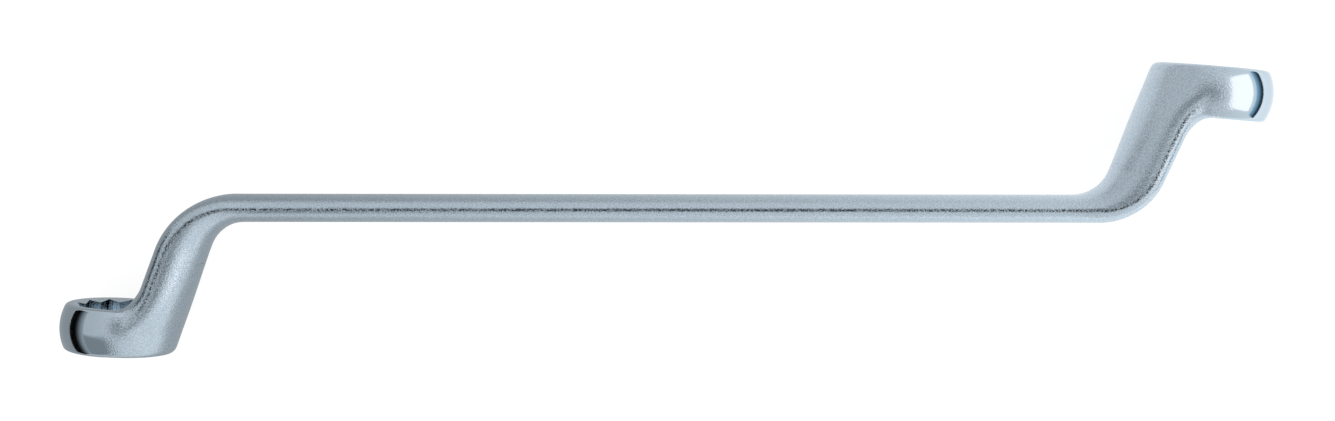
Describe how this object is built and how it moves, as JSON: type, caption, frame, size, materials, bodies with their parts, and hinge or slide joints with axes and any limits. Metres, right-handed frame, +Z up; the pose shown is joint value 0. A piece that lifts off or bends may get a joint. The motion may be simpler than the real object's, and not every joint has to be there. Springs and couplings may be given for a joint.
{
  "type": "offset ring spanner",
  "caption": "Deep-offset double ring spanner: a flat steel shank cranked opposite ways into a twelve-point ring at each end, for turning hexagon nuts and bolts in recesses.",
  "frame": {"origin": "on the bench, under the middle of the tool's box, with the tool lying on its side", "axes": "+X along the shank towards the larger ring, +Y the way the larger ring is cranked, +Z up from the bench"},
  "size_m": [0.3, 0.0728, 0.0296],
  "materials": {
    "ring_head": "satin chrome, polished to a mirror round the outer end of the ring",
    "forged_body": "satin chrome with a fine blasted grain"
  },
  "bodies": {
    "root": {"lower_ring_head": "ring_head", "lower_crank": "forged_body", "shank": "forged_body", "upper_crank": "forged_body", "upper_ring_head": "ring_head"}
  },
  "joints": []
}
